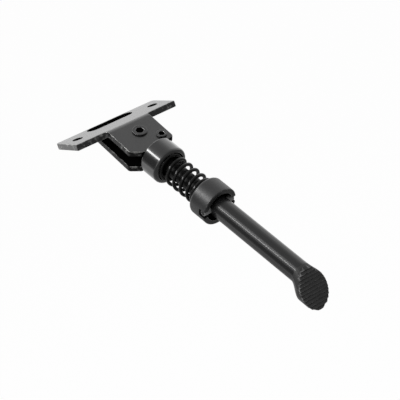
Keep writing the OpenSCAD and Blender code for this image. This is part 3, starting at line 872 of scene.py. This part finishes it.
# the weld bead in the slot is painted in shade with the dark steel; the sleeve is plain steel
for node, coat in (("pivot_sleeve", "plainSteel"), ("weld_bead", "paintedShadeSteel")):
    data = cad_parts[node].data
    data.materials.clear()
    data.materials.append(coats[coat])
print("collars and spring made")


studio = {
    "floorDrop": 0.30, "floorHalf": 6, "floorTone": 0.9, "floorWhite": 0.97, "floorFront": 0.22,
    "floorFade": (-0.5, 2.4), "ambient": 0.5, "backdrop": 1.0,
    # dark cards that black gloss shows: (direction, edge and core of the card as cosines, depth)
    "cards": (((-0.869, 0.387, 0.309), 0.80, 0.99, 0.88), ((0.1, -0.99, -0.1), 0.25, 0.85, 0.75),
              ((0.05, -0.3, 0.95), 0.6, 0.98, 0.5)),
    # panels: (place, size, watts)
    "panels": {"strip": ((-0.50, 0.01, 0.56), (1.3, 0.11), 5.5), "back": ((0.5, 1.1, 0.5), (1.6, 0.9), 0.8)},
    "aim": (0, -0.08, -0.06),
    "lens": 136.304, "sensor": 36, "clip": (0.01, 20),
    "place": (-0.51368, -0.99639, 0.22124), "turn": (1.296163, 0.308334, -0.598739),
}


def makeWorld(scene):
    world = bpy.data.worlds.new("studio")
    scene.world = world
    world.use_nodes = True
    tree = world.node_tree
    back = tree.nodes["Background"]
    back.inputs["Color"].default_value = (1, 1, 1, 1)
    towards = tree.nodes.new("ShaderNodeTexCoord").outputs["Generated"]
    shade = None
    for direction, edge, core, depth in studio["cards"]:
        dot = tree.nodes.new("ShaderNodeVectorMath")
        dot.operation = "DOT_PRODUCT"
        dot.inputs[1].default_value = direction
        tree.links.new(towards, dot.inputs[0])
        card = mathNode(tree, "MULTIPLY", stepNode(tree, dot.outputs["Value"], edge, core), depth)
        shade = card if shade is None else mathNode(tree, "MAXIMUM", shade, card)
    path = tree.nodes.new("ShaderNodeLightPath")
    seen = mathNode(tree, "MAXIMUM", path.outputs["Is Camera Ray"], path.outputs["Is Transmission Ray"])
    lit = mathNode(tree, "MULTIPLY", mathNode(tree, "SUBTRACT", 1.0, shade), studio["backdrop"])
    gloss = mathNode(tree, "MULTIPLY", path.outputs["Is Glossy Ray"], lit)
    ambient = mathNode(tree, "MULTIPLY", path.outputs["Is Diffuse Ray"], studio["ambient"])
    strength = mathNode(tree, "MAXIMUM", seen, mathNode(tree, "MAXIMUM", gloss, ambient))
    tree.links.new(strength, back.inputs["Strength"])


def makePanels(scene):
    along = legFrame.to_3x3() @ Vector((0, 0, 1))
    for name, (place, size, watts) in studio["panels"].items():
        light = bpy.data.lights.new(name, "AREA")
        light.shape = "RECTANGLE"
        light.size, light.size_y = size
        light.energy = watts
        lamp = bpy.data.objects.new(name, light)
        aim = (Vector(studio["aim"]) - Vector(place)).normalized()
        across = along - aim * along.dot(aim) if name == "strip" else Vector((0, 0, 1)).cross(aim)
        across.normalize()  # the strip lies along the leg
        turn = Matrix((across, (-aim).cross(across), -aim)).transposed().to_4x4()
        lamp.matrix_world = Matrix.Translation(place) @ turn
        lamp.visible_camera = False
        scene.collection.objects.link(lamp)


def makeFloor(scene):
    bm = bmesh.new()
    low = cadBox[0][2] - studio["floorDrop"]
    bmesh.ops.create_grid(bm, x_segments=1, y_segments=1, size=studio["floorHalf"],
                          matrix=Matrix.Translation((0, 0, low)))
    mesh = bpy.data.meshes.new("floor")
    bm.to_mesh(mesh)
    bm.free()
    floor = bpy.data.objects.new("floor", mesh)
    scene.collection.objects.link(floor)
    material = bpy.data.materials.new("paleFloor")
    material.use_nodes = True
    tree = material.node_tree
    shader = tree.nodes["Principled BSDF"]
    shader.inputs["Base Color"].default_value = (*grey(studio["floorTone"]), 1)
    shader.inputs["Roughness"].default_value = 0.9
    glow = tree.nodes.new("ShaderNodeEmission")
    mix = tree.nodes.new("ShaderNodeMixShader")
    path = tree.nodes.new("ShaderNodeLightPath")
    place = tree.nodes.new("ShaderNodeSeparateXYZ")
    tree.links.new(tree.nodes.new("ShaderNodeTexCoord").outputs["Object"], place.inputs[0])
    # gloss sees the floor white behind the stand and dark in front of it
    fade = stepNode(tree, place.outputs["Y"], *studio["floorFade"])
    front = mathNode(tree, "ADD", studio["floorFront"], mathNode(tree, "MULTIPLY", fade, 1 - studio["floorFront"]))
    tree.links.new(mathNode(tree, "MAXIMUM", path.outputs["Is Camera Ray"], front), glow.inputs["Strength"])
    shown = mathNode(tree, "MULTIPLY", path.outputs["Is Camera Ray"], studio["floorWhite"])
    tree.links.new(mathNode(tree, "MAXIMUM", shown, path.outputs["Is Glossy Ray"]), mix.inputs[0])
    tree.links.new(shader.outputs[0], mix.inputs[1])
    tree.links.new(glow.outputs[0], mix.inputs[2])
    tree.links.new(mix.outputs[0], tree.nodes["Material Output"].inputs["Surface"])
    mesh.materials.append(material)


def makeCamera(scene):
    camera = bpy.data.cameras.new("camera")
    camera.lens = studio["lens"]
    camera.sensor_width = studio["sensor"]
    camera.clip_start, camera.clip_end = studio["clip"]
    eye = bpy.data.objects.new("camera", camera)
    eye.location = studio["place"]
    eye.rotation_euler = studio["turn"]
    scene.collection.objects.link(eye)
    scene.camera = eye


def makeStudio():
    scene = bpy.context.scene
    scene.view_settings.view_transform = "Standard"
    for make in (makeWorld, makePanels, makeFloor, makeCamera):
        make(scene)


makeStudio()
print("studio made")
